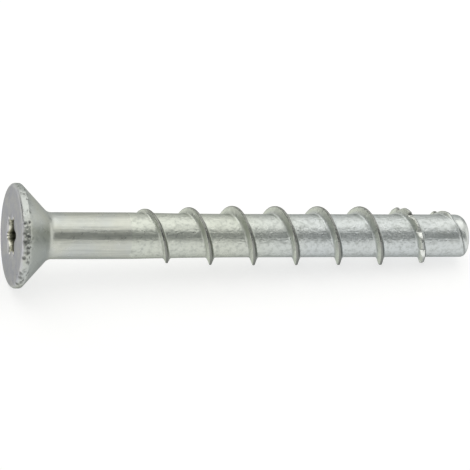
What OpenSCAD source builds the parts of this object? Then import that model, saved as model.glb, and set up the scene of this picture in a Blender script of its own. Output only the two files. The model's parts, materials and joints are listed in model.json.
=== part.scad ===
// Concrete screw with a countersunk head, a six-lobed drive and a toothed cutting thread.
// Forged and rolled from one steel wire, so it is one solid. All sizes are in millimetres.
// The screw is modelled upright, head face at height 0 and tip upwards, then laid on the floor.

/* [Head] */
// Diameter of the countersunk head
head_d = 21.7; // [18:0.1:26]
// Height of the head's straight rim, from the face to the cone
rim_h = 1.65; // [1.2:0.05:2.5]
// Angle of the countersunk cone, side to side
cone_angle = 92; // [80:1:100]
// Radius of the rounded edge of the head face
face_edge_r = 0.8; // [0.2:0.05:0.85]
// Radius of the rounded corner between rim and cone
rim_corner_r = 0.4; // [0.1:0.05:0.8]
// Radius of the fillet between cone and shank
neck_fillet_r = 2; // [0.3:0.1:2.6]

/* [Drive] */
// Size of the six-lobed recess across opposite lobes
drive_d = 8.95; // [8.4:0.05:9.6]
// Size of the recess across the ribs between the lobes
drive_inner_d = 6.4; // [5.6:0.1:6.6]
// Radius at the end of each lobe
lobe_r = 0.72; // [0.6:0.02:0.8]
// Depth of the recess walls below the head face
drive_depth = 4.8; // [3:0.1:5.2]
// Further depth of the pointed floor of the recess
drive_point_h = 1.1; // [0.4:0.1:1.6]
// Turn of the recess about the axis, away from the thread's start
drive_turn = 23; // [0:1:59]

/* [Shank] */
// Length of the screw, head included
screw_length = 100; // [90:1:160]
// Diameter of the plain shank
shank_d = 9.7; // [9.3:0.05:10.2]
// Distance from the head face to the start of the rolled stretch
rolled_start = 25.2; // [14:0.1:26]
// Length over which the rolled stretch narrows to the core
rolled_blend = 24; // [10:1:30]
// Diameter of the core under the thread
core_d = 9.18; // [8.6:0.02:9.3]
// Radius of the rounded edge of the tip
tip_r = 1.2; // [0.5:0.1:2.2]

/* [Thread] */
// Diameter over the thread
thread_d = 12.6; // [11.6:0.1:13.4]
// Advance of the thread in one turn
pitch = 9.53; // [7:0.1:12]
// Distance from the head face to the start of the thread
thread_start = 27; // [26:0.1:40]
// Distance from the end of the thread to the tip
thread_end_gap = 1; // [0.9:0.1:4]
// Width of the thread at its root
thread_root_w = 2.1; // [1.4:0.05:2.4]
// Width of the flat on the crest
crest_w = 0.38; // [0.2:0.02:0.8]
// Height of the thread where the run-in begins
start_h = 0.8; // [0.3:0.02:1]
// Turns over which the run-in grows to full height
run_in_turns = 1.9; // [1:0.1:2.4]
// Height of the last low ridge on the tip
ridge_h = 0.24; // [0.1:0.02:0.4]

/* [Cutting teeth] */
// Number of notches in the last turns
notch_count = 11; // [6:1:14]
// Angle between two notches
notch_spacing = 43.2; // [36:0.2:50]
// Depth of a notch in a thread of full height
notch_depth = 0.85; // [0.4:0.05:1.1]
// Width of the flat on the teeth
tooth_crest_w = 0.6; // [0.4:0.02:0.9]
// Height of the first teeth, where the toothed stretch begins
tooth_h = 1.55; // [1.4:0.01:1.65]
// Height of the two teeth on which the screw lies
rest_tooth_h = 1.38; // [1.2:0.01:1.5]
// Height of the last teeth before the tip
last_tooth_h = 0.8; // [0.5:0.02:1]
// Notch that meets the floor when the screw lies down, counted from the last one
rest_notch = 3; // [1:1:5]

/* [Hidden] */

head_r = head_d / 2;
shank_r = shank_d / 2;
core_r = core_d / 2;
half_cone = cone_angle / 2;
neck_z = rim_h + (head_r - shank_r) / tan(half_cone);
rim_end_z = rim_h - rim_corner_r * tan(half_cone / 2);
drive_point_d = 0.4;
overcut = 1;
arc_steps = 6;
blend_steps = 8;

// Thread: its sections are rings, spaced so that each notch has one at its deepest line and at each edge
thread_h = thread_d / 2 - core_r;
turns = (screw_length - thread_end_gap - thread_start) / pitch;
root_sink = 0.3;
end_sink = 0.15;
steps_per_notch = 7;
ring_step = notch_spacing / steps_per_notch;
notch_half = 2 * ring_step;
notch_lean = ring_step;
ring_count = ceil(turns * 360 / ring_step);
steps_to_notch = 26;
last_notch = steps_to_notch * ring_step;

// Run-in: turns from the start of the thread against its height
rise_turns = 0.05;
run_in = [[0, -end_sink], [rise_turns, start_h], [run_in_turns, thread_h]];

// Run-out: turns from the end of the thread against its height, falling in stages to the ridge
ridge_turns = 0.29;
last_teeth_turns = 0.43;
rest_teeth_turns = 0.9;
teeth_turns = 1.4;
run_out = [
    [0, -end_sink], [rise_turns, ridge_h],
    [ridge_turns, ridge_h], [ridge_turns + rise_turns, last_tooth_h],
    [last_teeth_turns, last_tooth_h], [last_teeth_turns + rise_turns, rest_tooth_h],
    [rest_teeth_turns, rest_tooth_h],
    [teeth_turns, tooth_h], [teeth_turns + rise_turns, thread_h]
];

// Height of the thread without its notches, at an angle measured back from its end
function thread_height(back) =
    min(lookup(turns - back / 360, run_in), lookup(back / 360, run_out));

// Place of the lying screw: it rests on its rim and on the teeth beside one notch
rest_back = last_notch + rest_notch * notch_spacing;
rest_angle = turns * 360 - rest_back;
rest_z = thread_start + pitch * rest_angle / 360;
rest_r = (core_r + thread_height(rest_back)) * cos(notch_half);
contact_z = rest_z + pitch * notch_half / 360 + tooth_crest_w / 2;
tilt = atan((head_r - rest_r) / (contact_z - rim_end_z));
lift = head_r * cos(tilt) + rim_end_z * sin(tilt);
head_reach = (head_r - face_edge_r) * sin(tilt) + face_edge_r * (1 - cos(tilt));
tip_reach = (screw_length - tip_r) * cos(tilt) + (core_r - tip_r) * sin(tilt) + tip_r;
middle = (tip_reach - head_reach) / 2;

// Points on an arc about c, from angle a to angle b
function arc(c, r, a, b) =
    [for (i = [0:arc_steps]) c + r * [cos(a + (b - a) * i / arc_steps), sin(a + (b - a) * i / arc_steps)]];

// Radius of the body under the thread at height z, rounded off at the tip
function body_r(z) =
    let (
        s = min(1, max(0, (z - rolled_start) / rolled_blend)),
        past = min(tip_r, max(0, z - screw_length + tip_r))
    )
    core_r + (shank_r - core_r) * (1 - s) * (1 - s) - tip_r + sqrt(tip_r * tip_r - past * past);

// Half section of the body: face, rim, cone, neck, shank, rolled stretch and tip
function body_section() = concat(
    [[0, 0]],
    arc([head_r - face_edge_r, face_edge_r], face_edge_r, -90, 0),
    arc([head_r - rim_corner_r, rim_end_z], rim_corner_r, 0, half_cone),
    arc([shank_r + neck_fillet_r, neck_z + neck_fillet_r * tan(half_cone / 2)],
        neck_fillet_r, 180 + half_cone, 180),
    [for (i = [0:blend_steps])
        let (z = rolled_start + rolled_blend * i / blend_steps) [body_r(z), z]],
    arc([core_r - tip_r, screw_length - tip_r], tip_r, 0, 90),
    [[0, screw_length]]
);

// Outline of the drive: six round lobes joined by round ribs, each arc tangent to the next
function drive_outline() =
    let (
        lobe_c = drive_d / 2 - lobe_r,
        inner = drive_inner_d / 2,
        rib_r = (lobe_c * lobe_c + inner * inner - 2 * lobe_c * inner * cos(30) - lobe_r * lobe_r)
            / (2 * (lobe_c * cos(30) + lobe_r - inner)),
        rib_c = (inner + rib_r) * [cos(30), sin(30)],
        to_rib = rib_c - [lobe_c, 0],
        meet = atan2(to_rib[1], to_rib[0])
    )
    [for (k = [0:5])
        for (p = concat(
            arc([lobe_c, 0], lobe_r, -meet, meet),
            arc(rib_c, rib_r, meet + 180, 240 - meet)))
            [p[0] * cos(60 * k) - p[1] * sin(60 * k), p[0] * sin(60 * k) + p[1] * cos(60 * k)]];

// How far a point lies inside a notch: 0 at its edges, 1 at its deepest line, which leans to the head
function notch_share(back) =
    let (
        k = round((back - last_notch) / notch_spacing),
        past = back - last_notch - k * notch_spacing,
        long_side = (notch_half + past) / (notch_half + notch_lean),
        short_side = (notch_half - past) / (notch_half - notch_lean)
    )
    k < 0 || k >= notch_count ? 0 : max(0, min(long_side, short_side));

// One section of the thread, at an angle measured back from its end
function thread_ring(back) =
    let (
        angle = turns * 360 - back,
        z = thread_start + pitch * angle / 360,
        full_h = thread_height(back),
        h = full_h - notch_depth * notch_share(back) * full_h / thread_h,
        flat_w = back < teeth_turns * 360 ? tooth_crest_w : crest_w,
        growth = sqrt((full_h + root_sink) / (thread_h + root_sink)),
        half_root = (flat_w + (thread_root_w - flat_w) * growth) / 2,
        half_crest = half_root + (flat_w / 2 - half_root) * (h + root_sink) / (full_h + root_sink),
        corners = [[-half_root, -root_sink], [-half_crest, h], [half_crest, h], [half_root, -root_sink]]
    )
    [for (p = corners)
        let (r = body_r(z + p[0]) + p[1]) [r * cos(angle), r * sin(angle), z + p[0]]];

module thread() {
    rings = [for (i = [0:ring_count]) thread_ring(min(i * ring_step, turns * 360))];
    sides = [for (i = [0:ring_count - 1])
        for (k = [0:3])
            let (a = 4 * i + k, b = 4 * i + (k + 1) % 4)
            for (f = [[a, b + 4, b], [a, a + 4, b + 4]]) f];
    last = 4 * ring_count;
    ends = [[0, 1, 2], [0, 2, 3], [last, last + 2, last + 1], [last, last + 3, last + 2]];
    polyhedron([for (ring = rings) for (p = ring) p], concat(sides, ends));
}

module drive_recess() {
    rotate([0, 0, drive_turn]) {
        translate([0, 0, -overcut])
            linear_extrude(drive_depth + overcut)
                polygon(drive_outline());
        translate([0, 0, drive_depth])
            cylinder(h = drive_point_h, d1 = drive_inner_d, d2 = drive_point_d);
    }
}

module upright_screw() {
    difference() {
        union() {
            rotate_extrude()
                polygon(body_section());
            thread();
        }
        drive_recess();
    }
}

module concrete_screw() {
    color([0.76, 0.78, 0.75])
        translate([-middle, 0, lift])
            rotate([0, 90 + tilt, 0])
                rotate([0, 0, -rest_angle])
                    upright_screw();
}

concrete_screw();
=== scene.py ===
# %% [markdown]
# # A zinc plated concrete screw
#
# This screw cuts its own thread into a hole drilled in concrete. The real one is a single piece of steel
# wire: a die strikes the countersunk head and its six-lobed recess, two dies roll the coarse thread, and a
# thin coat of zinc follows. So the scene holds one piece, and its looks tell that story: struck edges,
# a smooth shank, a mottled rolled stretch, sharp teeth near the tip, and nicks from lying loose in a box.
#
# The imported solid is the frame. It stays fixed and gives the new piece its place and its size.

# %% The frame
import json
import math

import bmesh
import bpy
from mathutils import Matrix, Vector, noise


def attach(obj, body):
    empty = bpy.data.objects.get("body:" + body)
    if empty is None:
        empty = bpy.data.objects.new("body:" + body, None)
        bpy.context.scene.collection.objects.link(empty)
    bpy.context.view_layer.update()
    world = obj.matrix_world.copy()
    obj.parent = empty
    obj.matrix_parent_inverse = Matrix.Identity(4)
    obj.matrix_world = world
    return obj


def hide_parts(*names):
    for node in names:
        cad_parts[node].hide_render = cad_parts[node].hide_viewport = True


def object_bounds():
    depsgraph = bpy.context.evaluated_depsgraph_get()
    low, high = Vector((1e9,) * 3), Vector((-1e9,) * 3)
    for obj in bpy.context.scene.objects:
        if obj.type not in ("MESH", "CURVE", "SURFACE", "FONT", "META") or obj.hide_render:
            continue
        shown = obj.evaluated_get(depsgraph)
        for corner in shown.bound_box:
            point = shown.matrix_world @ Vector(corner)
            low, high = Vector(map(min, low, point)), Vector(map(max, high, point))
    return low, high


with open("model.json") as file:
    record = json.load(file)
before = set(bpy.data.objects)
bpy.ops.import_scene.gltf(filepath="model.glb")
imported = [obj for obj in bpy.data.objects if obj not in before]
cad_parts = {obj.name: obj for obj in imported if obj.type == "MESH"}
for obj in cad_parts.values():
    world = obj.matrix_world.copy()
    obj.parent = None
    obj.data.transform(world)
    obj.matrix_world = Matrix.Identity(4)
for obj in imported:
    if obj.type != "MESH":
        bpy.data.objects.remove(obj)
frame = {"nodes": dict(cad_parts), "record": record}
solid_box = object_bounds()
MM = 0.001


def in_mm(box):
    """The corners of a box in millimetres, for printing."""
    return [[round(c / MM, 2) for c in corner] for corner in box]


print("solid box in mm:", in_mm(solid_box))

# %% [markdown]
# ## The screw's own axes
#
# The screw lies on its rim and on two teeth, so its axis dips a little towards the tip. Shaping a turned
# thing on a slant is awkward. It is shaped upright instead, in millimetres, with the head face at height 0,
# the tip up and the x axis on the side that will face the floor. One matrix then lays it down. The mount at
# the drive recess gives the middle of the head face and the direction of the axis.

# %% The matrix that lays the screw down
socket = next(m for m in frame["record"]["mounts"] if m["name"] == "drive_socket")
face_middle = Vector(socket["pos_m"])
tipward = -Vector(socket["axis"]).normalized()
sideways = Vector((0, 1, 0))
floorward = sideways.cross(tipward)
turn = Matrix((floorward, sideways, tipward)).transposed().to_4x4()
lay_down = Matrix.Translation(face_middle) @ turn @ Matrix.Scale(MM, 4)

stand_up = lay_down.inverted()
solid_points = [stand_up @ v.co for v in frame["nodes"]["concrete_screw"].data.vertices]
HEAD_R = max(math.hypot(p.x, p.y) for p in solid_points)
LENGTH = max(p.z for p in solid_points)
print(f"head radius {HEAD_R:.2f} mm, length {LENGTH:.2f} mm")

# %% [markdown]
# ## The body under the thread
#
# The wire is 9.7 mm thick where it is left plain. Rolling pushes steel out of the core and up into the
# thread, so the body narrows slowly over the rolled stretch. At the tip the cut edge of the wire is
# rounded, more on the side where the shear dragged the steel along than on the other. A turned section
# could not be lopsided. A formula for the radius at each height and angle can, and the thread uses it too.

# %% Radius of the body
SHANK_R = 4.85
CORE_R = 4.59
ROLLED_START = 25.2
ROLLED_BLEND = 24
TIP_R = 1.4
TIP_DRAG = 0.6
DRAGGED_SIDE = math.radians(143)


def clamp(value):
    return min(1, max(0, value))


def body_radius(z, angle):
    """Radius of the rolled body at a height and an angle from the floor side, without its thread."""
    narrowed = clamp((z - ROLLED_START) / ROLLED_BLEND)
    tip_r = TIP_R + TIP_DRAG * math.cos(angle - DRAGGED_SIDE)
    past = min(tip_r, max(0, z - LENGTH + tip_r))
    rounding = tip_r - math.sqrt(tip_r**2 - past**2)
    return CORE_R + (SHANK_R - CORE_R) * (1 - narrowed) ** 2 - rounding


print("radius at the start, middle and end:", [round(body_radius(z, 0), 2) for z in (25, 40, 100)])

# %% [markdown]
# ## How high the thread stands
#
# The thread starts with a blunt step, grows over almost two turns and then stays level. In the last turns
# it is notched, so that it saws into the concrete. There it is lower, with a broader flat, and it steps
# down until only a low ridge runs onto the tip. A drawn curve could hold these heights, but a short list of
# stages, measured in turns along the thread, is easier to read and to change.

# %% Heights along the run-in and the run-out
PITCH = 9.53
THREAD_START = 27
END_GAP = 1
THREAD_END = LENGTH - END_GAP
THREAD_R = 6.3
FULL_H = THREAD_R - CORE_R
TURNS = (THREAD_END - THREAD_START) / PITCH
END_SINK = 0.15
RISE = 0.05
START_H = 0.8
RUN_IN_TURNS = 1.9
RUN_IN = ((0, -END_SINK), (RISE, START_H), (RUN_IN_TURNS, FULL_H))

RIDGE_TURNS = 0.29
RIDGE_H = 0.24
LAST_TEETH_TURNS = 0.43
LAST_TOOTH_H = 0.8
REST_TEETH_TURNS = 0.9
REST_TOOTH_H = 1.38
TEETH_TURNS = 1.4
TOOTH_H = 1.55
RUN_OUT = (
    (0, -END_SINK), (RISE, RIDGE_H),
    (RIDGE_TURNS, RIDGE_H), (RIDGE_TURNS + RISE, LAST_TOOTH_H),
    (LAST_TEETH_TURNS, LAST_TOOTH_H), (LAST_TEETH_TURNS + RISE, REST_TOOTH_H),
    (REST_TEETH_TURNS, REST_TOOTH_H),
    (TEETH_TURNS, TOOTH_H), (TEETH_TURNS + RISE, FULL_H),
)


def staged(stages, place):
    """Value at a place along the thread, between the two stages around it."""
    if place <= stages[0][0]:
        return stages[0][1]
    for (a, low), (b, high) in zip(stages, stages[1:]):
        if place <= b:
            return low + (high - low) * (place - a) / (b - a)
    return stages[-1][1]


def thread_height(back):
    """Height of the thread without its notches, in turns back from its end."""
    return min(staged(RUN_IN, TURNS - back), staged(RUN_OUT, back))


print(f"{TURNS:.2f} turns, {FULL_H:.2f} mm high")

# %% [markdown]
# ## The notches
#
# A gear-like disc on the rolling die presses the notches, all at the same angle from one to the next. Each
# is steep on the side of the head and slopes gently on the side of the tip, like a saw. They could be cut
# out afterwards with many small wedges. Taking them off the height of the thread leaves one clean skin.
# The screw comes to rest on the teeth beside the fourth notch from the tip, which fixes how the thread
# is turned.

# %% Place and depth of the notches
NOTCH_COUNT = 11
NOTCH_DEPTH = 0.85
NOTCH_ANGLE = 43.2
NOTCH_SPACING = NOTCH_ANGLE / 360
STEPS_PER_NOTCH = 7
STEPS_TO_LAST_NOTCH = 26
HALF_NOTCH_STEPS = 2
LEAN_STEPS = 1
REST_NOTCH = 3
NOTCH_STEP = NOTCH_SPACING / STEPS_PER_NOTCH
LAST_NOTCH = STEPS_TO_LAST_NOTCH * NOTCH_STEP
REST_Z = THREAD_END - PITCH * (LAST_NOTCH + REST_NOTCH * NOTCH_SPACING)


def notch_share(back):
    """1 at the deepest line of a notch, falling to 0 at its two edges."""
    number = round((back - LAST_NOTCH) / NOTCH_SPACING)
    if not 0 <= number < NOTCH_COUNT:
        return 0
    past = (back - LAST_NOTCH) / NOTCH_STEP - number * STEPS_PER_NOTCH
    gentle_side = (HALF_NOTCH_STEPS + past) / (HALF_NOTCH_STEPS + LEAN_STEPS)
    steep_side = (HALF_NOTCH_STEPS - past) / (HALF_NOTCH_STEPS - LEAN_STEPS)
    return max(0, min(gentle_side, steep_side))


print(f"the screw rests on the notch {REST_Z:.2f} mm from the head face")

# %% [markdown]
# ## One turn of thread, spun
#
# A thread could be a ridge laid on a cylinder, but two surfaces that cross never look rolled. Here the body
# and the ridge are one skin. A line of vertices as long as the pitch is spun once round the axis and climbs
# one pitch as it goes, so the top edge of one turn fits the bottom edge of the next. Copies of the turn
# are stacked and welded, and two flat cuts trim the stack to the rolled stretch.

# %% Spin one turn
ROUND_STEPS = 240
LOWER_TURNS = 8
CREST_HALF = 0.19
FLANK_END = 0.95
FOOT_END = 1.4
OFFSETS = (-PITCH / 2, -FOOT_END, -FLANK_END, -CREST_HALF, CREST_HALF, FLANK_END, FOOT_END, PITCH / 2)
CUTS_BETWEEN = (4, 2, 5, 2, 5, 2, 4)


def wire(bm, points):
    """A line of new vertices joined by edges."""
    verts = [bm.verts.new(p) for p in points]
    return verts, [bm.edges.new(pair) for pair in zip(verts, verts[1:])]


screw = bmesh.new()
lowest = REST_Z - LOWER_TURNS * PITCH
_, stretches = wire(screw, [(CORE_R, 0, lowest + offset) for offset in OFFSETS])
for stretch, cuts in zip(stretches, CUTS_BETWEEN):
    bmesh.ops.subdivide_edges(screw, edges=[stretch], cuts=cuts)
bmesh.ops.spin(
    screw, geom=screw.verts[:] + screw.edges[:], cent=(0, 0, 0), axis=(0, 0, 1),
    dvec=(0, 0, PITCH / ROUND_STEPS), angle=math.tau, steps=ROUND_STEPS,
)
print(len(screw.faces), "faces in one turn")

# %% Stack the turns and trim them
STACKED_TURNS = 10
SKIN_START = 24
SKIN_END = LENGTH - TIP_R - TIP_DRAG
WELD = 0.001


def only(kind, geometry):
    return [g for g in geometry if isinstance(g, kind)]


one_turn = screw.verts[:] + screw.edges[:] + screw.faces[:]
for number in range(1, STACKED_TURNS):
    copied = bmesh.ops.duplicate(screw, geom=one_turn)["geom"]
    bmesh.ops.translate(screw, vec=(0, 0, number * PITCH), verts=only(bmesh.types.BMVert, copied))
bmesh.ops.remove_doubles(screw, verts=screw.verts, dist=WELD)
for level, kept_side in ((SKIN_START, 1), (SKIN_END, -1)):
    bmesh.ops.bisect_plane(
        screw, geom=screw.verts[:] + screw.edges[:] + screw.faces[:], dist=WELD / 10,
        plane_co=(0, 0, level), plane_no=(0, 0, kept_side), clear_inner=True,
    )
print(len(screw.verts), "vertices in the skin of the rolled stretch")

# %% [markdown]
# ## The rounded tip
#
# The tip of the real screw is blunt, with a rounded edge and the end of the thread running over it. A bevel
# on a finished cylinder would cut that ridge off. So the open edge at the top is pulled up in small steps
# that follow a quarter circle, and only the heights are set here. The radius comes from the body's formula
# in a later step, so that the last ridge of the thread runs onto the rounding.

# %% Pull up the tip
TIP_STEPS = 24


def open_edges(bm, z):
    """Edges of the open rim that lies at height z."""
    return [e for e in bm.edges if e.is_boundary and all(abs(v.co.z - z) < WELD for v in e.verts)]


def pull(bm, edges, rise=0.0, scale=1.0):
    """Extrudes a rim, moves and scales the new one, and returns its edges and vertices."""
    made = bmesh.ops.extrude_edge_only(bm, edges=edges)["geom"]
    verts = only(bmesh.types.BMVert, made)
    bmesh.ops.scale(bm, vec=(scale, scale, 1), verts=verts)
    bmesh.ops.translate(bm, vec=(0, 0, rise), verts=verts)
    return [e for e in only(bmesh.types.BMEdge, made) if e.is_boundary], verts


tip_rim = open_edges(screw, SKIN_END)
pulled = 0
for step in range(1, TIP_STEPS + 1):
    next_pulled = (TIP_R + TIP_DRAG) * math.sin(math.pi / 2 * step / TIP_STEPS)
    tip_rim, _ = pull(screw, tip_rim, rise=next_pulled - pulled)
    pulled = next_pulled
print("tip pulled up by", round(pulled, 2), "mm")

# %% [markdown]
# ## The section of the thread
#
# Each vertex of the skin is going to move in or out to where the steel went. How far depends on its turn
# and on its distance from the middle of the ridge. The ridge has straight flanks, a narrow flat crest and
# a soft foot. A displacement texture could raise it too, but a formula keeps its true size. Beside the last
# low ridge, the edge of the die pressed a thin line into the tip.

# %% Section of the ridge
ROOT_W = 2.1
ROOT_SINK = 0.3
CREST_SOFT = 0.1
FOOT_SOFT = 0.45
RIDGE_HALF = 0.08
TOOTH_HALF = 0.3
HALF_FLAT = (
    (RIDGE_TURNS, RIDGE_HALF), (RIDGE_TURNS + RISE, TOOTH_HALF),
    (TEETH_TURNS, TOOTH_HALF), (TEETH_TURNS + RISE, CREST_HALF),
)


def soft_min(a, b, reach):
    """The smaller of two values, rounded where they are nearly equal."""
    share = clamp(0.5 + (b - a) / (2 * reach))
    return b + (a - b) * share - reach * share * (1 - share)


def ridge(offset, back):
    """Height of the skin over the body, and the height of the crest there."""
    full = thread_height(back)
    if full <= 0:
        return 0, 0
    top = full * (1 - NOTCH_DEPTH / FULL_H * notch_share(back))
    half_flat = staged(HALF_FLAT, back)
    growth = math.sqrt((full + ROOT_SINK) / (FULL_H + ROOT_SINK))
    half_root = half_flat + (ROOT_W / 2 - half_flat) * growth
    flank = (half_root - abs(offset)) * (full + ROOT_SINK) / (half_root - half_flat) - ROOT_SINK
    capped = soft_min(top, flank, CREST_SOFT * clamp(full))
    return -soft_min(0, -capped, FOOT_SOFT * clamp(full**2)), top


print("ridge at 0, 0.5 and 1 mm from its middle:", [round(ridge(d, 3)[0], 2) for d in (0, 0.5, 1)])

# %% The line pressed beside the last ridge
GROOVE_MIDDLE = 0.36
GROOVE_HALF = 0.26
GROOVE_DEPTH = 0.16
GROOVE_FULLNESS = 1.3
GROOVE_START = 0.05
GROOVE_END = 0.03


def patch(distance, reach, fullness):
    """1 in the middle of a patch, falling to 0 at its reach. A greater fullness widens the middle."""
    return clamp(fullness - fullness * distance / reach)


def groove(offset, back):
    """How deep the die's edge pressed its line along the last ridge, from 0 to 1."""
    lengthwise = clamp((RIDGE_TURNS - back) / GROOVE_START) * clamp(back / GROOVE_END + 1)
    return lengthwise * patch(abs(offset - GROOVE_MIDDLE), GROOVE_HALF, GROOVE_FULLNESS)


print("deepest place of the line:", round(GROOVE_DEPTH * groove(GROOVE_MIDDLE, 0.1), 2), "mm")

# %% [markdown]
# ## Marks for the finish, painted shade and painted highlights
#
# One flank of the real screw keeps a straw tint. The crests, the steep walls of the notches and the other
# flank get painted shade, and the gentle sides of the notches painted highlights. A shader can't know which
# face is a flank, and painting by hand would not follow a changed size. So each vertex carries where on the
# thread it lies, as attributes between 0 and 1.

# %% Marks of the skin
crest_shade_mark = screw.verts.layers.float.new("crest")
headward_mark = screw.verts.layers.float.new("headward_flank")
tipward_shade_mark = screw.verts.layers.float.new("tipward_flank_shade")
notch_highlight_mark = screw.verts.layers.float.new("notch")
sheared_highlight_mark = screw.verts.layers.float.new("sheared")
LOWEST_CREST = 0.05
LOW_RIDGE = 0.3
CREST_BAND = 0.2
CREST_FADE = 0.15
TOOTH_CREST_SHADE = 0.4
NOTCH_FILL = 3
FLANK_SIDE = 0.3
FLANK_FULL_H = 0.8
SHEARED_FADE = 0.2
SHEARED_END = 0.05


def mark_skin(v, offset, back, height, top):
    """Marks the crest, both flanks, the gentle side of a notch and the sheared edge of the tip, for straw,
    painted shade and painted highlights.
    """
    share = notch_share(back)
    gentle = notch_share(back + NOTCH_STEP / 10) > share
    if top > LOWEST_CREST:
        on_top = clamp((height - top + CREST_BAND) / CREST_FADE) * clamp(top / LOW_RIDGE - 1)
        in_shade = back > TEETH_TURNS or (share and not gentle)
        standing = clamp(height / FLANK_FULL_H)
        # Painted shade on the crests, in full on the steep walls of the notches.
        v[crest_shade_mark] = on_top * (1 if in_shade else TOOTH_CREST_SHADE)
        # Painted highlight on the gentle side of a notch.
        v[notch_highlight_mark] = on_top * clamp(NOTCH_FILL * share) if gentle else 0
        v[headward_mark] = clamp(-offset / FLANK_SIDE) * standing
        # Painted shade on the flank that faces the tip.
        v[tipward_shade_mark] = clamp(offset / FLANK_SIDE) * standing
    pressed_line = groove(offset, back)
    if pressed_line:
        # Painted shade in the line pressed beside the last ridge.
        v[tipward_shade_mark] = pressed_line
    elif back < RIDGE_TURNS and offset > 0:
        beyond = offset - GROOVE_MIDDLE - GROOVE_HALF
        # Painted highlight on the sheared end, beyond the pressed line.
        v[sheared_highlight_mark] = clamp(beyond / SHEARED_FADE) * clamp(1 + back / SHEARED_END)


print("marks:", ", ".join(layer.name for layer in screw.verts.layers.float.values()))

# %% [markdown]
# ## Move the skin
#
# The formulas are ready, so one loop over the vertices raises the thread and marks it. The angle and the
# height of a vertex say which turn it belongs to. Rolled crests are never quite even, because the steel
# flows as it likes. A slow noise lowers them by a few hundredths of a millimetre. Moving vertices at random
# would make a ragged edge instead.

# %% Raise and mark every vertex
CREST_WANDER = 0.04
WANDER_GRAIN = 0.6

for v in screw.verts:
    angle = math.atan2(v.co.y, v.co.x)
    turns_up = (v.co.z - REST_Z) / PITCH - angle / math.tau
    offset = (turns_up - round(turns_up)) * PITCH
    back = (THREAD_END - v.co.z + offset) / PITCH
    height, top = ridge(offset, back)
    height -= CREST_WANDER * clamp(height) * (0.5 + 0.5 * noise.noise(v.co * WANDER_GRAIN))
    height -= GROOVE_DEPTH * groove(offset, back)
    mark_skin(v, offset, back, height, top)
    grow = (body_radius(v.co.z, angle) + height) / math.hypot(v.co.x, v.co.y)
    v.co.x *= grow
    v.co.y *= grow
print("thread raised to", round(max(math.hypot(v.co.x, v.co.y) for v in screw.verts), 2), "mm radius")

# %% [markdown]
# ## Close the tip
#
# The end of the wire was sheared off, so it is flat inside the rounded edge. One large face could close it,
# but a face with hundreds of corners shades badly. The last rim is pulled inwards twice, and the second
# new rim is merged into one point in the middle.

# %% Flat end
INWARD = 0.5
tip_rim, _ = pull(screw, tip_rim, scale=INWARD)
_, inner_verts = pull(screw, tip_rim, scale=INWARD)
bmesh.ops.pointmerge(screw, verts=inner_verts, merge_co=(0, 0, LENGTH))
print("open edges left:", sum(e.is_boundary for e in screw.edges), "at the shank")

# %% [markdown]
# ## The head and the plain shank, turned
#
# The head is round, so half of its section is enough: face, rim, cone and shank as four straight edges.
# Bevelling a corner of a wire rounds it, as a struck edge is rounded. How far back the bevel starts follows
# from the radius and the angle of the corner. Then the section is spun once round and welded shut. Two
# cylinders and a cone could be put together instead, but their edges would be sharp.

# %% Half section of the head
RIM_H = 1.65
CONE_TURN = math.radians(46)
FACE_EDGE_R = 0.8
RIM_CORNER_R = 0.4
NECK_R = 2
MOUTH_R = 4.9
BRIDGE_GAP = 0.6
SHANK_END = SKIN_START - BRIDGE_GAP
SECTION_STEP = 0.7
RIM_CUTS = 4
CORNER_SEGMENTS = 5
neck_z = RIM_H + (HEAD_R - SHANK_R) / math.tan(CONE_TURN)
section = ((MOUTH_R, 0), (HEAD_R, 0), (HEAD_R, RIM_H), (SHANK_R, neck_z), (SHANK_R, SHANK_END))
roundings = ((FACE_EDGE_R, math.pi / 2), (RIM_CORNER_R, CONE_TURN), (NECK_R, CONE_TURN))

head = bmesh.new()
corners, _ = wire(head, [(r, 0, z) for r, z in section])
for corner, (radius, bend) in zip(corners[1:4], roundings):
    bmesh.ops.bevel(
        head, geom=[corner], offset=radius * math.tan(bend / 2), offset_type="OFFSET",
        segments=CORNER_SEGMENTS, profile=0.5, affect="VERTICES", material=-1,
    )
for edge in head.edges[:]:
    along_rim = all(abs(v.co.x - HEAD_R) < WELD for v in edge.verts)
    cuts = RIM_CUTS if along_rim else int(edge.calc_length() / SECTION_STEP)
    if cuts:
        bmesh.ops.subdivide_edges(head, edges=[edge], cuts=cuts)
print("half section of", len(head.edges), "edges")

# %% Turn the head
HEAD_STEPS = 288
bmesh.ops.spin(
    head, geom=head.verts[:] + head.edges[:], cent=(0, 0, 0), axis=(0, 0, 1),
    angle=math.tau, steps=HEAD_STEPS, use_merge=True,
)
print("head turned with", len(head.faces), "faces")

# %% [markdown]
# ## The six-lobed recess
#
# A punch struck the recess: six round lobes with round ribs between them. It could be cut with a boolean,
# which leaves long thin faces around the mouth. In polar form its outline is one radius for each angle, made
# of two kinds of arc that touch. So the round mouth left in the face is pulled to that outline, pulled down
# for the walls and closed with a cone. A small chamfer at the mouth catches the light, as a worn edge does.

# %% Outline of the recess
DRIVE_D = 8.95
DRIVE_INNER_D = 6.4
LOBE_R = 0.72
LOBE_TURN = math.radians(-6.8)
sector = math.radians(30)
lobe_c = DRIVE_D / 2 - LOBE_R
inner_r = DRIVE_INNER_D / 2
rib_r = (lobe_c**2 + inner_r**2 - 2 * lobe_c * inner_r * math.cos(sector) - LOBE_R**2) / (
    2 * (lobe_c * math.cos(sector) + LOBE_R - inner_r)
)
rib_c = inner_r + rib_r
lobe_to_rib = Vector((rib_c * math.cos(sector) - lobe_c, rib_c * math.sin(sector))).normalized()
touch = math.atan2(LOBE_R * lobe_to_rib.y, lobe_c + LOBE_R * lobe_to_rib.x)


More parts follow.
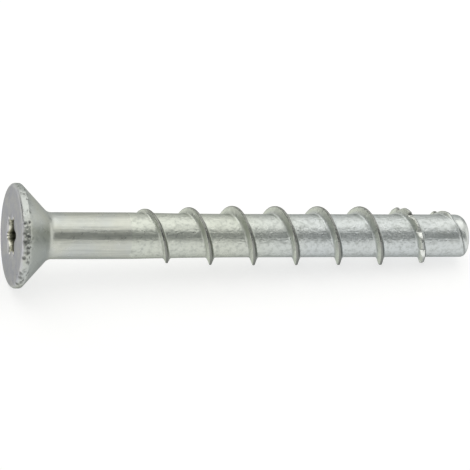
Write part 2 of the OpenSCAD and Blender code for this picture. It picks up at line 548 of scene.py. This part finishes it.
def lobed_radius(angle):
    """Radius of the recess at an angle from the floor side."""
    a = abs((angle - LOBE_TURN + sector) % (2 * sector) - sector)
    if a < touch:
        return lobe_c * math.cos(a) + math.sqrt(LOBE_R**2 - (lobe_c * math.sin(a)) ** 2)
    a = sector - a
    return rib_c * math.cos(a) - math.sqrt(rib_r**2 - (rib_c * math.sin(a)) ** 2)


print(f"lobes reach {lobed_radius(LOBE_TURN):.2f} mm, ribs of {rib_r:.2f} mm radius")

# %% Strike the recess
DRIVE_DEPTH = 4.8
POINT_H = 1.1
POINT_R = 0.2
MOUTH_CHAMFER = 0.08
WALL_STEPS = 6
FLOOR_STEPS = 3


def set_radius(verts, radius):
    """Moves each vertex out or in to radius(angle)."""
    for v in verts:
        angle = math.atan2(v.co.y, v.co.x)
        r = radius(angle)
        v.co.x, v.co.y = r * math.cos(angle), r * math.sin(angle)


rim, verts = pull(head, open_edges(head, 0))
set_radius(verts, lambda angle: lobed_radius(angle) + MOUTH_CHAMFER)
rim, verts = pull(head, rim, rise=MOUTH_CHAMFER)
set_radius(verts, lobed_radius)
for step in range(WALL_STEPS):
    rim, verts = pull(head, rim, rise=(DRIVE_DEPTH - MOUTH_CHAMFER) / WALL_STEPS)
rim, verts = pull(head, rim)
set_radius(verts, lambda angle: min(inner_r, lobed_radius(angle) - MOUTH_CHAMFER))
for step in range(1, FLOOR_STEPS + 1):
    rim, verts = pull(head, rim, rise=POINT_H / FLOOR_STEPS)
    set_radius(verts, lambda angle: inner_r + (POINT_R - inner_r) * step / FLOOR_STEPS)
_, verts = pull(head, rim)
bmesh.ops.pointmerge(head, verts=verts, merge_co=(0, 0, DRIVE_DEPTH + POINT_H))
print("recess struck; open edges left on the head:", sum(e.is_boundary for e in head.edges))

# %% [markdown]
# ## Join head and thread
#
# Head and thread are one wire. Both meshes are open where they meet on the shank, a little apart, and they
# have different numbers of edges there, so welding them would leave gaps. The head is added to the mesh of
# the thread, and a bridge of faces closes the gap. The shank is a plain cylinder there, so nothing shows.

# %% Bridge the shank
head_mesh = bpy.data.meshes.new("head")
head.to_mesh(head_mesh)
head.free()
screw.from_mesh(head_mesh)
bpy.data.meshes.remove(head_mesh)
bmesh.ops.bridge_loops(screw, edges=open_edges(screw, SHANK_END) + open_edges(screw, SKIN_START))
print("joined; open edges left:", sum(e.is_boundary for e in screw.edges))

# %% [markdown]
# ## Nicks, dents and painted shade on the cone
#
# Screws rattle in a box with hundreds of others, and the proud edge of the head takes the knocks. They could
# be sculpted one by one. Here a noise with a threshold picks small patches all round the rim, and a short
# list adds the larger dents: angle in degrees, height and size. They are pressed in by up to
# a fifth of a millimetre, and an attribute keeps where, so that the finish can be dark there. A second
# attribute marks a broad patch of painted shade on the front of the cone, which is not pressed in.

# %% Where the knocks and the painted shade on the cone are
NICK_STRETCH = 1.4
NICK_GRAIN = 1.5
NICK_FINE_SHARE = 0.4
NICK_THRESHOLD = 0.22
NICK_RANGE = 0.35
NICK_LOWEST = 0.3
NICK_FADE = 0.4
DENTS = (
    (-179, 1.2, 0.35), (-139, 0.5, 0.36), (-135, 0.9, 0.28), (-129, 0.4, 0.45), (-126, 1.2, 0.65),
    (-120, 0.6, 0.75), (-114, 1.1, 0.55), (-109, 1.0, 0.7), (-102, 0.5, 0.55), (-97, 1.2, 0.45),
    (-84, 1.1, 0.4), (-80, 0.3, 0.75), (-73, 0.4, 0.75), (-66, 0.9, 0.45), (-58, 0.3, 0.65),
)
CONE_SHADE_ANGLE = math.radians(-108)
CONE_SHADE_Z = 4.2
CONE_SHADE_REACH = 7.5
CONE_SHADE_SQUEEZE = 1.2
CONE_SHADE_FULLNESS = 1.4
NECK_FADE = 0.8
FACE_GAP = 0.5


def nicked(co, finer):
    """How deep a chance knock goes at a place, from 0 to 1."""
    rough = noise.noise(Vector((co.x, co.y, co.z * NICK_STRETCH)) * NICK_GRAIN)
    depth = clamp((rough + NICK_FINE_SHARE * finer - NICK_THRESHOLD) / NICK_RANGE)
    return depth * clamp((co.z - NICK_LOWEST) / NICK_FADE)


def dented(angle, z):
    """1 in the middle of a dent of the rim, falling to 0 at its edge."""
    nearest = 1
    for dent_angle, dent_z, size in DENTS:
        aside = HEAD_R * math.remainder(angle - math.radians(dent_angle), math.tau)
        nearest = min(nearest, math.hypot(aside, z - dent_z) / size)
    return 1 - nearest


def cone_shaded(angle, radius, z):
    """1 in the middle of the painted shade on the cone, falling to 0 at its edge, at the shank and at the
    face.
    """
    aside = radius * math.remainder(angle - CONE_SHADE_ANGLE, math.tau)
    distance = math.hypot(aside, CONE_SHADE_SQUEEZE * (z - CONE_SHADE_Z))
    on_cone = clamp((radius - SHANK_R) / NECK_FADE) * clamp(z - FACE_GAP)
    return patch(distance, CONE_SHADE_REACH, CONE_SHADE_FULLNESS) * on_cone


print(len(DENTS), "dents by hand, and a scuff that reaches", CONE_SHADE_REACH, "mm")

# %% [markdown]
# ## Knock the rim about
#
# The knocks are now pressed into the mesh, so that the outline of the rim is uneven too, which bump in
# a material could not do. A much slower noise makes the drawn wire a touch uneven, so that reflections
# waver.

# %% Press the nicks in
NICK_DEPTH = 0.2
RIM_BAND = 0.7
RIM_FADE = 0.4
FINE_GRAIN = 3.1
FINE_SHIFT = Vector((7, 3, 1))
DENT_FULLNESS = 1.6
RIM_WAVER = 0.05
RIM_WAVER_RAISE = 0.3
WAVER = 0.012
WAVER_GRAIN = Vector((0.25, 0.25, 0.12))
nick_mark = screw.verts.layers.float.new("nick")
cone_shade_mark = screw.verts.layers.float.new("cone_shade")

for v in screw.verts:
    radius = math.hypot(v.co.x, v.co.y)
    if radius < WELD:
        continue
    angle = math.atan2(v.co.y, v.co.x)
    on_rim = clamp((radius - HEAD_R + RIM_BAND) / RIM_FADE)
    finer = noise.noise(v.co * FINE_GRAIN + FINE_SHIFT)
    slow = noise.noise(v.co * WAVER_GRAIN)
    nick = nicked(v.co, finer)
    if on_rim:
        nick = max(nick, clamp(dented(angle, v.co.z) * DENT_FULLNESS * (1 + finer)))
    v[nick_mark] = nick * on_rim
    if v.co.z < SHANK_END:
        # Painted shade on the front of the cone, not pressed in.
        v[cone_shade_mark] = cone_shaded(angle, radius, v.co.z)
    rim_depth = NICK_DEPTH * nick + RIM_WAVER * clamp(finer + RIM_WAVER_RAISE)
    depth = on_rim * rim_depth + WAVER * (0.5 + 0.5 * slow)
    v.co.x *= 1 - depth / radius
    v.co.y *= 1 - depth / radius
print("nicked vertices:", sum(v[nick_mark] > 0 for v in screw.verts))

# %% [markdown]
# ## One finished piece
#
# Doubles are merged and the faces turned outwards, and only then is the screw laid down by its matrix. The
# object could be turned instead, but patterns on object coordinates would then slide. So the object itself
# stays at the origin, and its place is in its mesh.

# %% Lay it down
bmesh.ops.remove_doubles(screw, verts=screw.verts, dist=WELD)
bmesh.ops.recalc_face_normals(screw, faces=screw.faces)
bmesh.ops.transform(screw, matrix=lay_down, verts=screw.verts)
screw_mesh = bpy.data.meshes.new("plated_screw")
screw.to_mesh(screw_mesh)
screw.free()
screw_mesh.shade_smooth()
plated_screw = bpy.data.objects.new("plated_screw", screw_mesh)
bpy.context.scene.collection.objects.link(plated_screw)
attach(plated_screw, "root")
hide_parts("concrete_screw")
print(sum(len(p.vertices) - 2 for p in screw_mesh.polygons), "triangles in the plated screw")

# %% [markdown]
# ## Zinc plating
#
# Bright zinc is a metal with a soft, slightly broken shine. Its clear passivation leaves a faint tint that
# drifts between cool grey and straw. A photo of zinc could be wrapped round the screw, but it would stretch
# on the flanks. The finish is made of shader nodes instead, and a few short helpers keep them readable.

# %% A metal to be finished
def add(tree, kind, inputs=None, **settings):
    """A new shader node. An input is linked if it is a socket, and set otherwise."""
    made = tree.nodes.new("ShaderNode" + kind)
    for name, value in settings.items():
        setattr(made, name, value)
    for name, value in (inputs or {}).items():
        if isinstance(value, bpy.types.NodeSocket):
            tree.links.new(value, made.inputs[name])
        else:
            made.inputs[name].default_value = value
    return made


zinc = bpy.data.materials.new("zinc_plating")
zinc.use_nodes = True
zinc_tree = zinc.node_tree
zinc_shader = zinc_tree.nodes["Principled BSDF"]
zinc_shader.inputs["Metallic"].default_value = 1.0
screw_mesh.materials.append(zinc)
print("metal to be finished:", screw_mesh.materials[0].name)

# %% [markdown]
# ## Where each finish goes
#
# The head face, the recess, the shank and the rolled stretch look different, because each was made by
# another tool. They could have a material each, with a hard line between them. Masks in one material
# blend instead. A mapping turns object coordinates into the screw's axes and scales them to millimetres,
# so a mask is a range of lengths from the head face or of distances from the axis.

# %% The screw's axes in the shader
place = add(zinc_tree, "TexCoord").outputs["Object"]
screw_turn = Matrix((tipward, sideways, -floorward)).to_euler()
from_face = {0: place, 1: tuple(face_middle)}
centred = add(zinc_tree, "VectorMath", from_face, operation="SUBTRACT").outputs[0]
to_axes = {"Vector": centred, "Rotation": tuple(screw_turn), "Scale": (1 / MM,) * 3}
spot = add(zinc_tree, "Mapping", to_axes).outputs["Vector"]
length_along = add(zinc_tree, "SeparateXYZ", {"Vector": spot}).outputs["X"]
across = add(zinc_tree, "VectorMath", {0: spot, 1: (0, 1, 1)}, operation="MULTIPLY").outputs[0]
from_axis = add(zinc_tree, "VectorMath", {0: across}, operation="LENGTH").outputs["Value"]
print("shader coordinates in mm, turned by", [round(math.degrees(a), 1) for a in screw_turn], "degrees")

# %% Masks of face, recess, shank and rolled stretch
FACE_FADE = (0.1, 0.5)
RECESS_RADII = (4.5, 4.65)
RECESS_START = (0.1, 0.3)
RECESS_END = (6.5, 7)
SHANK_FADE = (8.5, 9.5)
ROLLED_FADE = (ROLLED_START - 0.95, ROLLED_START - 0.65)
PRESSING_RISE = (ROLLED_START, 50, 0.3, 0.8)
PRESSING_FALL = (90, 94, 1, 0.4)


def spread(tree, value, low, high, to_low=0.0, to_high=1.0):
    """Maps a value from one range to another, held at its ends."""
    inputs = {"Value": value, "From Min": low, "From Max": high, "To Min": to_low, "To Max": to_high}
    return add(tree, "MapRange", inputs).outputs["Result"]


def times(tree, a, b):
    return add(tree, "Math", {0: a, 1: b}, operation="MULTIPLY").outputs[0]


def inside(value, fade):
    """1 before a place and 0 beyond it."""
    return spread(zinc_tree, value, *fade, 1, 0)


def beyond(value, fade):
    """0 before a place and 1 beyond it."""
    return spread(zinc_tree, value, *fade)


on_face = inside(length_along, FACE_FADE)
in_recess = times(zinc_tree, inside(from_axis, RECESS_RADII), inside(length_along, RECESS_END))
in_recess = times(zinc_tree, in_recess, beyond(length_along, RECESS_START))
on_rolled = beyond(length_along, ROLLED_FADE)
on_shank = times(zinc_tree, beyond(length_along, SHANK_FADE), inside(on_rolled, (0, 1)))
pressing = times(zinc_tree, on_rolled, spread(zinc_tree, length_along, *PRESSING_RISE))
pressing = times(zinc_tree, pressing, spread(zinc_tree, length_along, *PRESSING_FALL))
print("rolled stretch from", round(ROLLED_FADE[0], 2), "mm, pressed hardest from", PRESSING_RISE[1], "mm")

# %% [markdown]
# ## Patterns
#
# Drawn wire shows fine lines along its length. The dies leave lumps and small dimples on the rolled stretch,
# and the zinc itself has a fine grain. Each is a noise of its own size, in bumps to the millimetre. For the
# drawing lines the noise is stretched along the screw, which is simpler than drawing single lines.

# %% Noises
DRAWN_STRETCH = (0.06, 1.6, 1.6)


def cloud(tree, vector, scale, detail=3.0, roughness=0.5):
    """A soft noise between 0 and 1."""
    inputs = {"Vector": vector, "Scale": scale, "Detail": detail, "Roughness": roughness}
    return add(tree, "TexNoise", inputs).outputs["Fac"]


stretched = add(zinc_tree, "Mapping", {"Vector": spot, "Scale": DRAWN_STRETCH}).outputs["Vector"]
drawing_lines = cloud(zinc_tree, stretched, scale=1.5, detail=2)
drift = cloud(zinc_tree, spot, scale=0.14)
face_wear = cloud(zinc_tree, across, scale=0.45, detail=4)
mottle = cloud(zinc_tree, spot, scale=1.1, detail=4, roughness=0.62)
dimples = cloud(zinc_tree, spot, scale=2.4, detail=2)
grain = cloud(zinc_tree, spot, scale=4.0, roughness=0.6)
print(sum(n.type == "TEX_NOISE" for n in zinc_tree.nodes), "noises")

# %% [markdown]
# ## Colours of the plating
#
# The face is dull and a little lilac, worn paler in patches. The recess keeps more of the straw tint, and
# further in it turns dark with painted shade. The rolled stretch is brighter, straw near the shank and
# cooler towards the tip, with grey where the dies pressed. One colour ramp along the length could hold most
# of this, but it would know nothing of the recess. So the colours are laid over each other like coats of
# paint, each with its own mask.

# %% Coats on the body
COOL_ZINC = (0.525, 0.55, 0.535, 1)
STRAW_ZINC = (0.57, 0.585, 0.53, 1)
DULL_FACE = (0.535, 0.535, 0.57, 1)
WORN_FACE = (0.605, 0.60, 0.595, 1)
RECESS_STRAW = (0.88, 0.87, 0.76, 1)
# Painted shade deep in the recess.
RECESS_PAINTED_SHADE = (0.25, 0.26, 0.21, 1)
DRAWN_GREY = (0.34, 0.36, 0.345, 1)
ROLLED_STRAW = (0.62, 0.648, 0.58, 1)
ROLLED_COOL = (0.62, 0.655, 0.665, 1)
PRESSED_GREY = (0.30, 0.32, 0.30, 1)
DRIFT_RANGE = (0.38, 0.62)
WEAR_RANGE = (0.42, 0.62)
PAINTED_SHADE_DEPTH = (0.8, 1.4)
COOLING = (46, 64)
FACE_SHARE = 0.95
ROLLED_SHARE = 0.8
DRAWN_STREAKS = (0.45, 0.65, 0, 0.32)
PRESSED_PATCHES = (0.48, 0.72, 0, 0.6)


def tint(tree, factor, a, b):
    """Mixes two colours."""
    return add(tree, "Mix", {0: factor, 6: a, 7: b}, data_type="RGBA").outputs[2]


worn = tint(zinc_tree, beyond(face_wear, WEAR_RANGE), DULL_FACE, WORN_FACE)
# The recess turns from its straw tint to painted shade with depth.
recess_tint_and_shade = tint(zinc_tree, beyond(length_along, PAINTED_SHADE_DEPTH), RECESS_STRAW, RECESS_PAINTED_SHADE)
rolled_tint = tint(zinc_tree, beyond(length_along, COOLING), ROLLED_STRAW, ROLLED_COOL)
coats = (
    (times(zinc_tree, on_face, FACE_SHARE), worn),
    (in_recess, recess_tint_and_shade),
    (times(zinc_tree, on_shank, spread(zinc_tree, drawing_lines, *DRAWN_STREAKS)), DRAWN_GREY),
    (times(zinc_tree, on_rolled, ROLLED_SHARE), rolled_tint),
    (times(zinc_tree, on_rolled, spread(zinc_tree, mottle, *PRESSED_PATCHES)), PRESSED_GREY),
)
colour = tint(zinc_tree, beyond(drift, DRIFT_RANGE), COOL_ZINC, STRAW_ZINC)
for mask, coat in coats:
    colour = tint(zinc_tree, mask, colour, coat)
print(len(coats), "coats over the zinc")

# %% [markdown]
# ## Colours of the thread, the wear, and painted shade and highlights
#
# The marks on the vertices take over now. The flank that looks at the head keeps straw. The other flank and
# the crests get painted shade, the notches and the sheared end painted highlights, the front of the cone a
# patch of painted shade, and the nicks are grey. They could be painted on an image, but marks move with the
# shape. Each coat has a strength, and below 1 some of the plating shows through, as it does on a worn edge.

# %% Coats on the marks
FLANK_STRAW = (0.67, 0.695, 0.615, 1)
# Painted shade for the crests, the steep walls of the notches and the tip-side flank.
CREST_PAINTED_SHADE = (0.22, 0.225, 0.21, 1)
# Painted highlight for the gentle sides of the notches and the sheared end.
PAINTED_HIGHLIGHT = (0.80, 0.82, 0.79, 1)
# Painted shade for the patch on the front of the cone.
CONE_PAINTED_SHADE = (0.34, 0.37, 0.365, 1)
NICK_GREY = (0.15, 0.155, 0.15, 1)
MARK_COATS = (
    ("headward_flank", 0.85, FLANK_STRAW),
    # Painted shade on the tip-side flank and the crests.
    ("tipward_flank_shade", 0.6, CREST_PAINTED_SHADE),
    ("crest", 0.9, CREST_PAINTED_SHADE),
    # Painted highlights on the notches and the sheared end.
    ("notch", 1, PAINTED_HIGHLIGHT),
    ("sheared", 0.5, PAINTED_HIGHLIGHT),
    ("cone_shade", 0.6, CONE_PAINTED_SHADE),
    ("nick", 0.85, NICK_GREY),
)


def mark(tree, name):
    """One of the marks that the vertices of the screw carry."""
    return add(tree, "Attribute", attribute_name=name).outputs["Fac"]


for name, strength, coat in MARK_COATS:
    colour = tint(zinc_tree, times(zinc_tree, mark(zinc_tree, name), strength), colour, coat)
zinc_tree.links.new(colour, zinc_shader.inputs["Base Color"])
print(len(MARK_COATS), "coats on marks")

# %% [markdown]
# ## Edges and shine
#
# A metal seen at a slant changes its colour. Worn zinc gets darker there, which draws the dark line along
# the outline of the shank. The straw flank and the rounded edge of the face get a lighter tint, a painted
# highlight.
# Dark paint along the outline would be wrong from any other side, and the shader's tint for slanting views
# is right from all of them. The crests are polished by the dies, so they are less rough, and the mottle
# breaks up the shine all over.

# %% Tint at a slant, and roughness
EDGE_TINT = (0.42, 0.43, 0.42, 1)
HIGHLIGHT_EDGE_TINT = (0.70, 0.73, 0.68, 1)
FACE_EDGE_START = (0, 0.05)
FACE_EDGE_END = (0.5, 0.9)
FACE_EDGE_RADII = (9.8, 10)
FACE_EDGE_SHARE = 0.5
MOTTLE_RANGE = (0.35, 0.65)
ROUGHNESS = (0.27, 0.40)
RECESS_ROUGHER = 1.1
CREST_SMOOTHER = 0.5

rounded = times(zinc_tree, beyond(length_along, FACE_EDGE_START), inside(length_along, FACE_EDGE_END))
rounded = times(zinc_tree, rounded, beyond(from_axis, FACE_EDGE_RADII))
# Painted highlight: a lighter tint at a slant on the head-side flank and the rounded edge of the face.
slant = tint(zinc_tree, mark(zinc_tree, "headward_flank"), EDGE_TINT, HIGHLIGHT_EDGE_TINT)
slant = tint(zinc_tree, times(zinc_tree, rounded, FACE_EDGE_SHARE), slant, HIGHLIGHT_EDGE_TINT)
zinc_tree.links.new(slant, zinc_shader.inputs["Specular Tint"])

shine = spread(zinc_tree, mottle, *MOTTLE_RANGE, *ROUGHNESS)
for mask, factor in ((in_recess, RECESS_ROUGHER), (mark(zinc_tree, "crest"), CREST_SMOOTHER)):
    shine = times(zinc_tree, shine, spread(zinc_tree, mask, 0, 1, 1, factor))
zinc_tree.links.new(shine, zinc_shader.inputs["Roughness"])
print("roughness from", ROUGHNESS[0], "to", ROUGHNESS[1])

# %% [markdown]
# ## Fine relief
#
# Grain, drawing lines, lumps and dimples could be moved into the mesh, but it would need many more faces.
# Bump nodes in a chain give them instead. Each has a strength and a depth in millimetres. Lumps and
# dimples follow the mask that says how hard the dies pressed, so the relief begins softly after the shank
# and fades again at the tip.

# %% Chain of bumps
LUMP_STRENGTH = (0.25, 0.9)
relief = (
    (grain, 0.35, 0.04),
    (drawing_lines, 0.5, 0.06),
    (mottle, spread(zinc_tree, pressing, 0, 1, *LUMP_STRENGTH), 0.12),
    (dimples, pressing, 0.15),
)
normal = add(zinc_tree, "NewGeometry").outputs["Normal"]
for pattern, strength, depth in relief:
    inputs = {"Strength": strength, "Distance": depth * MM, "Height": pattern, "Normal": normal}
    normal = add(zinc_tree, "Bump", inputs).outputs["Normal"]
zinc_tree.links.new(normal, zinc_shader.inputs["Normal"])
print(len(zinc_tree.nodes), "nodes in the zinc plating")

# %% [markdown]
# ## Floor
#
# A pale floor stands for the sheet of paper in a photo studio. It is a plain grid. More light could make it
# white, but would bleach the screw as well. Most of its white is a glow of its own instead, seen by the
# camera and by reflections alike. The lamps add the rest, so the soft shadow of the screw stays.

# %% Sheet of paper
FLOOR_SIZE = 1.6
floor_mesh = bpy.data.meshes.new("paper_floor")
paper = bmesh.new()
bmesh.ops.create_grid(paper, x_segments=1, y_segments=1, size=FLOOR_SIZE)
bmesh.ops.translate(paper, vec=(0, 0, solid_box[0].z), verts=paper.verts)
paper.to_mesh(floor_mesh)
paper.free()
floor = bpy.data.objects.new("paper_floor", floor_mesh)
bpy.context.scene.collection.objects.link(floor)
print("floor of", 2 * FLOOR_SIZE, "m")

# %% White of the paper
PAPER_GREY = (0.42, 0.42, 0.42, 1)
PAPER_ROUGHNESS = 0.9
GLOW = 0.66
white = bpy.data.materials.new("white_paper")
white.use_nodes = True
paper_tree = white.node_tree
paper_shader = paper_tree.nodes["Principled BSDF"]
paper_shader.inputs["Base Color"].default_value = PAPER_GREY
paper_shader.inputs["Roughness"].default_value = PAPER_ROUGHNESS
paper_shader.inputs["Specular IOR Level"].default_value = 0.0
paper_shader.inputs["Emission Color"].default_value = (1, 1, 1, 1)
ray = add(paper_tree, "LightPath").outputs
seen = ray["Is Camera Ray"]
for kind in ("Is Glossy Ray", "Is Transmission Ray"):
    seen = add(paper_tree, "Math", {0: seen, 1: ray[kind]}, operation="MAXIMUM").outputs[0]
paper_tree.links.new(times(paper_tree, seen, GLOW), paper_shader.inputs["Emission Strength"])
floor_mesh.materials.append(white)
print("paper glows with", GLOW)

# %% [markdown]
# ## Light
#
# Metal shows what is around it. A wide soft box overhead makes the bright band along the upper side, and
# the panel in front of it softens the band's lower edge. The paper and a low card light the lower side,
# panels at the left and right light the face and the tip, and one at the back fills the upper outline. The
# dim room between them is the dark band in the middle. Point lamps would only make small glints.

# %% Soft boxes
WARM_WHITE = (1, 0.985, 0.95)
DOWN = (0, 0, -1)
FORWARD = (0, -1, 0)
BACKWARD = (0, 1, 0)
RIGHTWARD = (1, 0, 0)
LEFTWARD = (-1, 0, 0)


def soft_box(name, place, size, brightness, aim):
    """A rectangular lamp. Its brightness is that of its surface: 1 is as bright as white paper."""
    lamp = bpy.data.lights.new(name, "AREA")
    lamp.shape = "RECTANGLE"
    lamp.size, lamp.size_y = size
    lamp.energy = brightness * math.pi * size[0] * size[1]
    lamp.color = WARM_WHITE
    holder = bpy.data.objects.new(name, lamp)
    holder.location = place
    holder.rotation_euler = Vector(aim).to_track_quat("-Z", "Y").to_euler()
    bpy.context.scene.collection.objects.link(holder)


soft_box("overhead_soft_box", (0, 0.305, 0.62), (1.3, 0.84), 1.12, DOWN)
soft_box("front_panel", (0, -0.24, 0.62), (1.3, 0.25), 0.8, DOWN)
soft_box("back_panel", (0, 0.9, 0.38), (1.8, 0.7), 0.6, FORWARD)
soft_box("low_card", (0, -0.9, 0.11), (1.6, 0.22), 0.85, BACKWARD)
soft_box("left_panel", (-1.0, -0.3, 0.42), (0.9, 0.4), 0.9, RIGHTWARD)
soft_box("right_panel", (1.0, -0.05, 0.38), (1.3, 0.76), 0.8, LEFTWARD)
print(len(bpy.data.lights), "soft boxes and panels")

# %% Dim room
ROOM_GREY = (0.225, 0.235, 0.23, 1)
room = bpy.data.worlds.new("dim_room")
room.use_nodes = True
background = room.node_tree.nodes["Background"]
background.inputs["Color"].default_value = ROOM_GREY
background.inputs["Strength"].default_value = 1.0
bpy.context.scene.world = room
print("room light", ROOM_GREY[:3])

# %% [markdown]
# ## Camera
#
# The camera stands in front of the screw and before its head, so that the head face and the recess just
# show. A camera that looks straight at the side would hide them. Its place is given in the screw's axes,
# and a long lens keeps the lines nearly parallel. A shift of the lens sets the height in the picture.

# %% Place of the camera
CAMERA_LIFT = math.radians(36.876)
CAMERA_DISTANCE = 507.1
CAMERA_BEFORE_HEAD = 114.06
CAMERA_YAW = 0.30958
frontward = -math.sin(CAMERA_LIFT) * floorward - math.cos(CAMERA_LIFT) * sideways
up = -math.cos(CAMERA_LIFT) * floorward + math.sin(CAMERA_LIFT) * sideways
right = math.cos(CAMERA_YAW) * tipward + math.sin(CAMERA_YAW) * frontward
away = math.cos(CAMERA_YAW) * frontward - math.sin(CAMERA_YAW) * tipward
stand = face_middle + MM * (CAMERA_DISTANCE * frontward - CAMERA_BEFORE_HEAD * tipward)
print("camera at", [round(c, 3) for c in stand])

# %% Lens and picture
LENS_MM = 193.63
SENSOR_MM = 36
PICTURE_PIXELS = 470
SHIFT_PIXELS = 0.67
NEAREST = 0.01
FURTHEST = 20
lens = bpy.data.cameras.new("camera")
lens.lens = LENS_MM
lens.sensor_width = SENSOR_MM
lens.shift_y = SHIFT_PIXELS / PICTURE_PIXELS
lens.clip_start = NEAREST
lens.clip_end = FURTHEST
camera = bpy.data.objects.new("camera", lens)
camera.matrix_world = Matrix.Translation(stand) @ Matrix((right, up, away)).transposed().to_4x4()
bpy.context.scene.collection.objects.link(camera)
bpy.context.scene.camera = camera
bpy.context.scene.view_settings.view_transform = "Standard"
print("lens of", LENS_MM, "mm")
